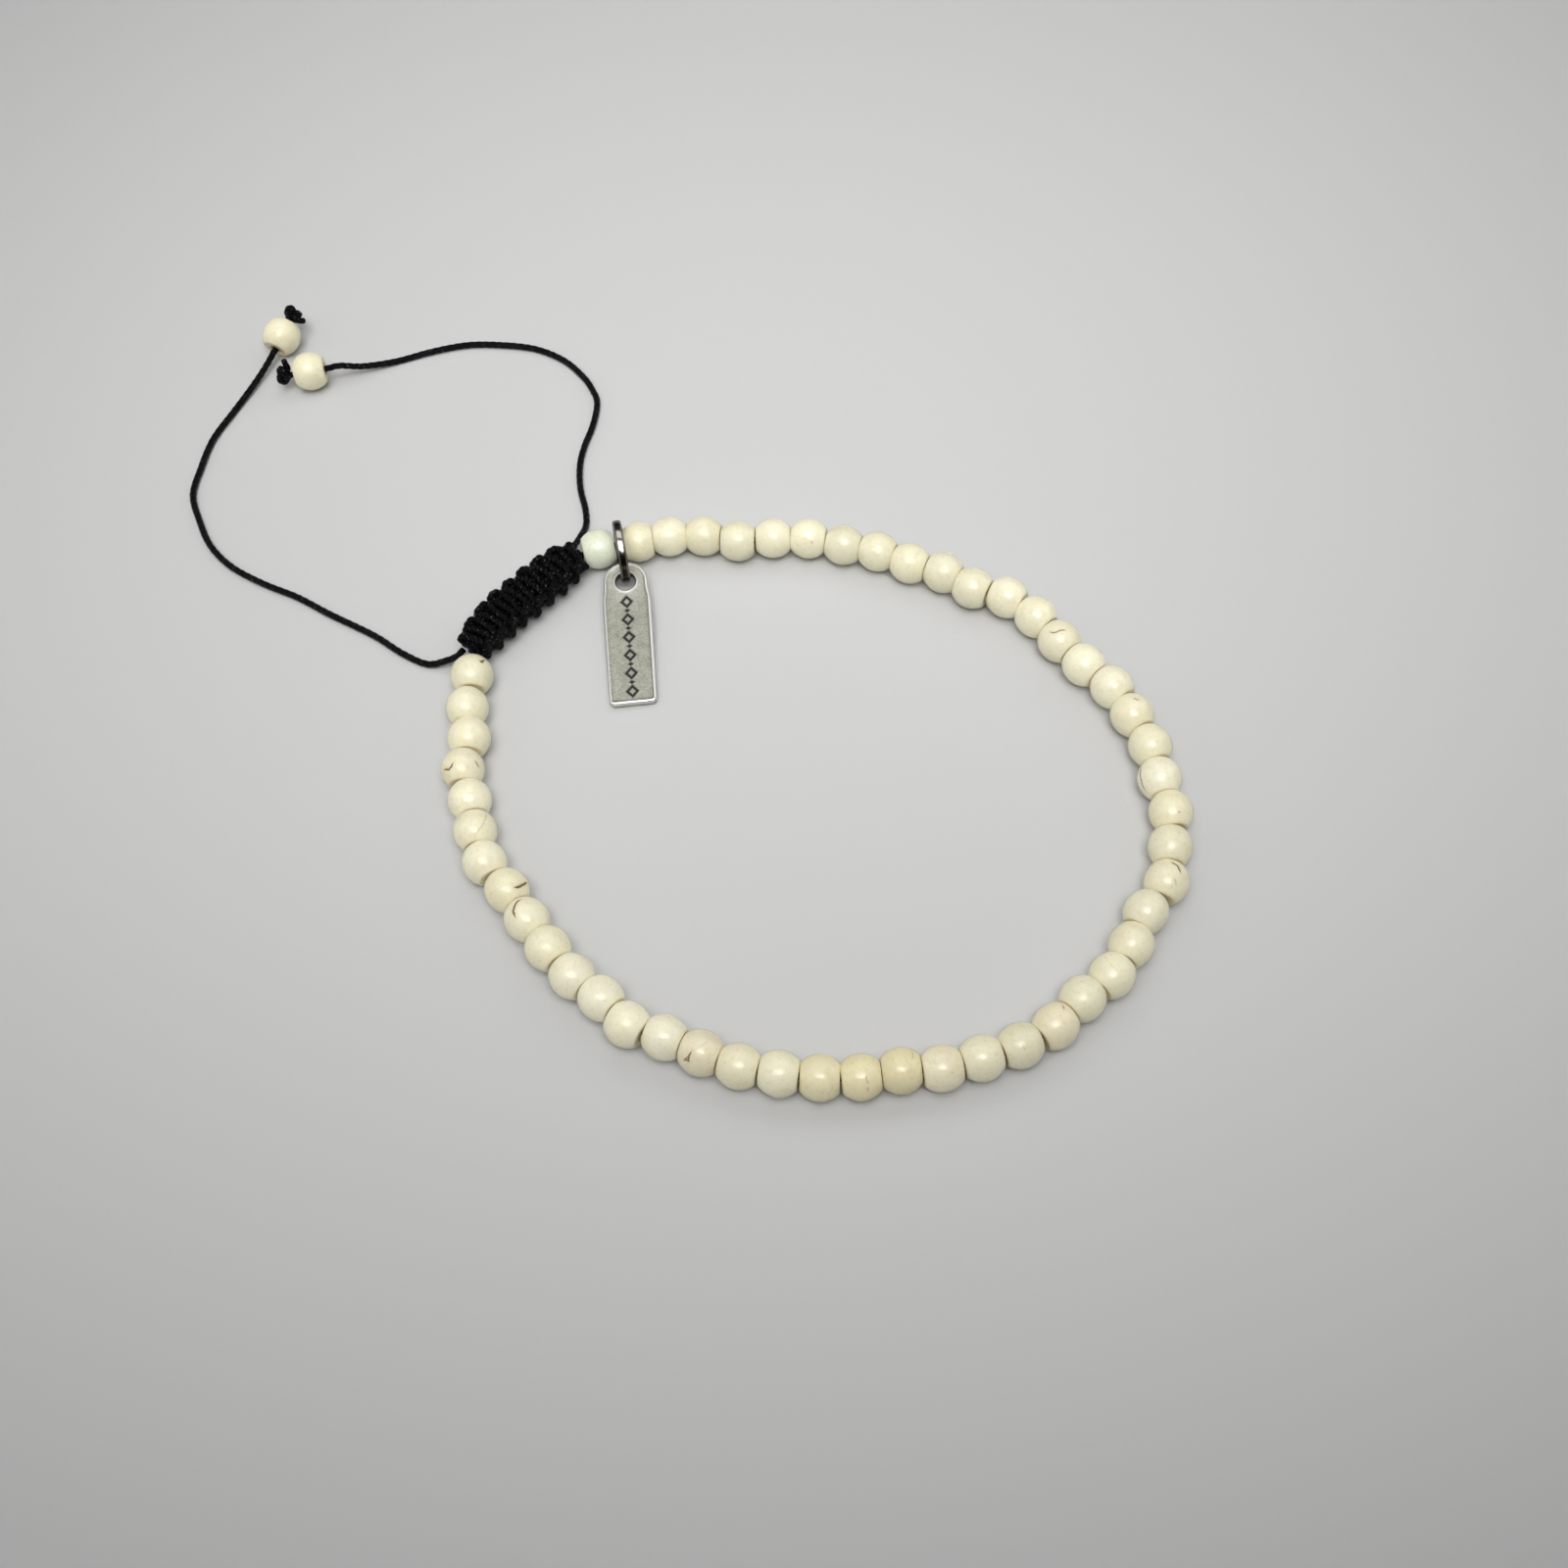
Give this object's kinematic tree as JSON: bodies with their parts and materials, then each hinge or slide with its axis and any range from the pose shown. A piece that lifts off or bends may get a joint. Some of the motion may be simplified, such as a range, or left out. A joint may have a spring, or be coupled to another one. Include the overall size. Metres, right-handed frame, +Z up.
{
  "type": "gemstone bracelet",
  "caption": "Adjustable bracelet of small cream stone beads on a waxed cord, with a knotted sliding sleeve, beaded drawcord tails and a flat metal tag on a jump ring.",
  "frame": {"origin": "on the surface that the bracelet lies on, below the middle of the box round the bead loop, the sleeve, the ring and the tag", "axes": "+Z up, out of the plane that the bracelet lies in and along the hole for the wrist; +X to the right and +Y away from a viewer who sees the sleeve at the upper left"},
  "size_m": [0.0968, 0.0967, 0.0064],
  "materials": {
    "stone": null,
    "waxed_cord": "black waxed twisted cord",
    "dark_metal": "polished gunmetal wire",
    "antique_silver": "antiqued silver with a bright worn rim and blackened engraving"
  },
  "bodies": {
    "root": {"bead_strand_a": "stone", "bead_strand_b": "stone", "bead_strand_c": "stone", "bead_strand_d": "stone", "bead_strand_e": "stone", "macrame_slide": "waxed_cord", "tail_left": "waxed_cord", "tail_right": "waxed_cord", "end_bead_left": "stone", "end_bead_right": "stone", "end_knot_left": "waxed_cord", "end_knot_right": "waxed_cord", "jump_ring": "dark_metal", "tag": "antique_silver"}
  },
  "joints": []
}
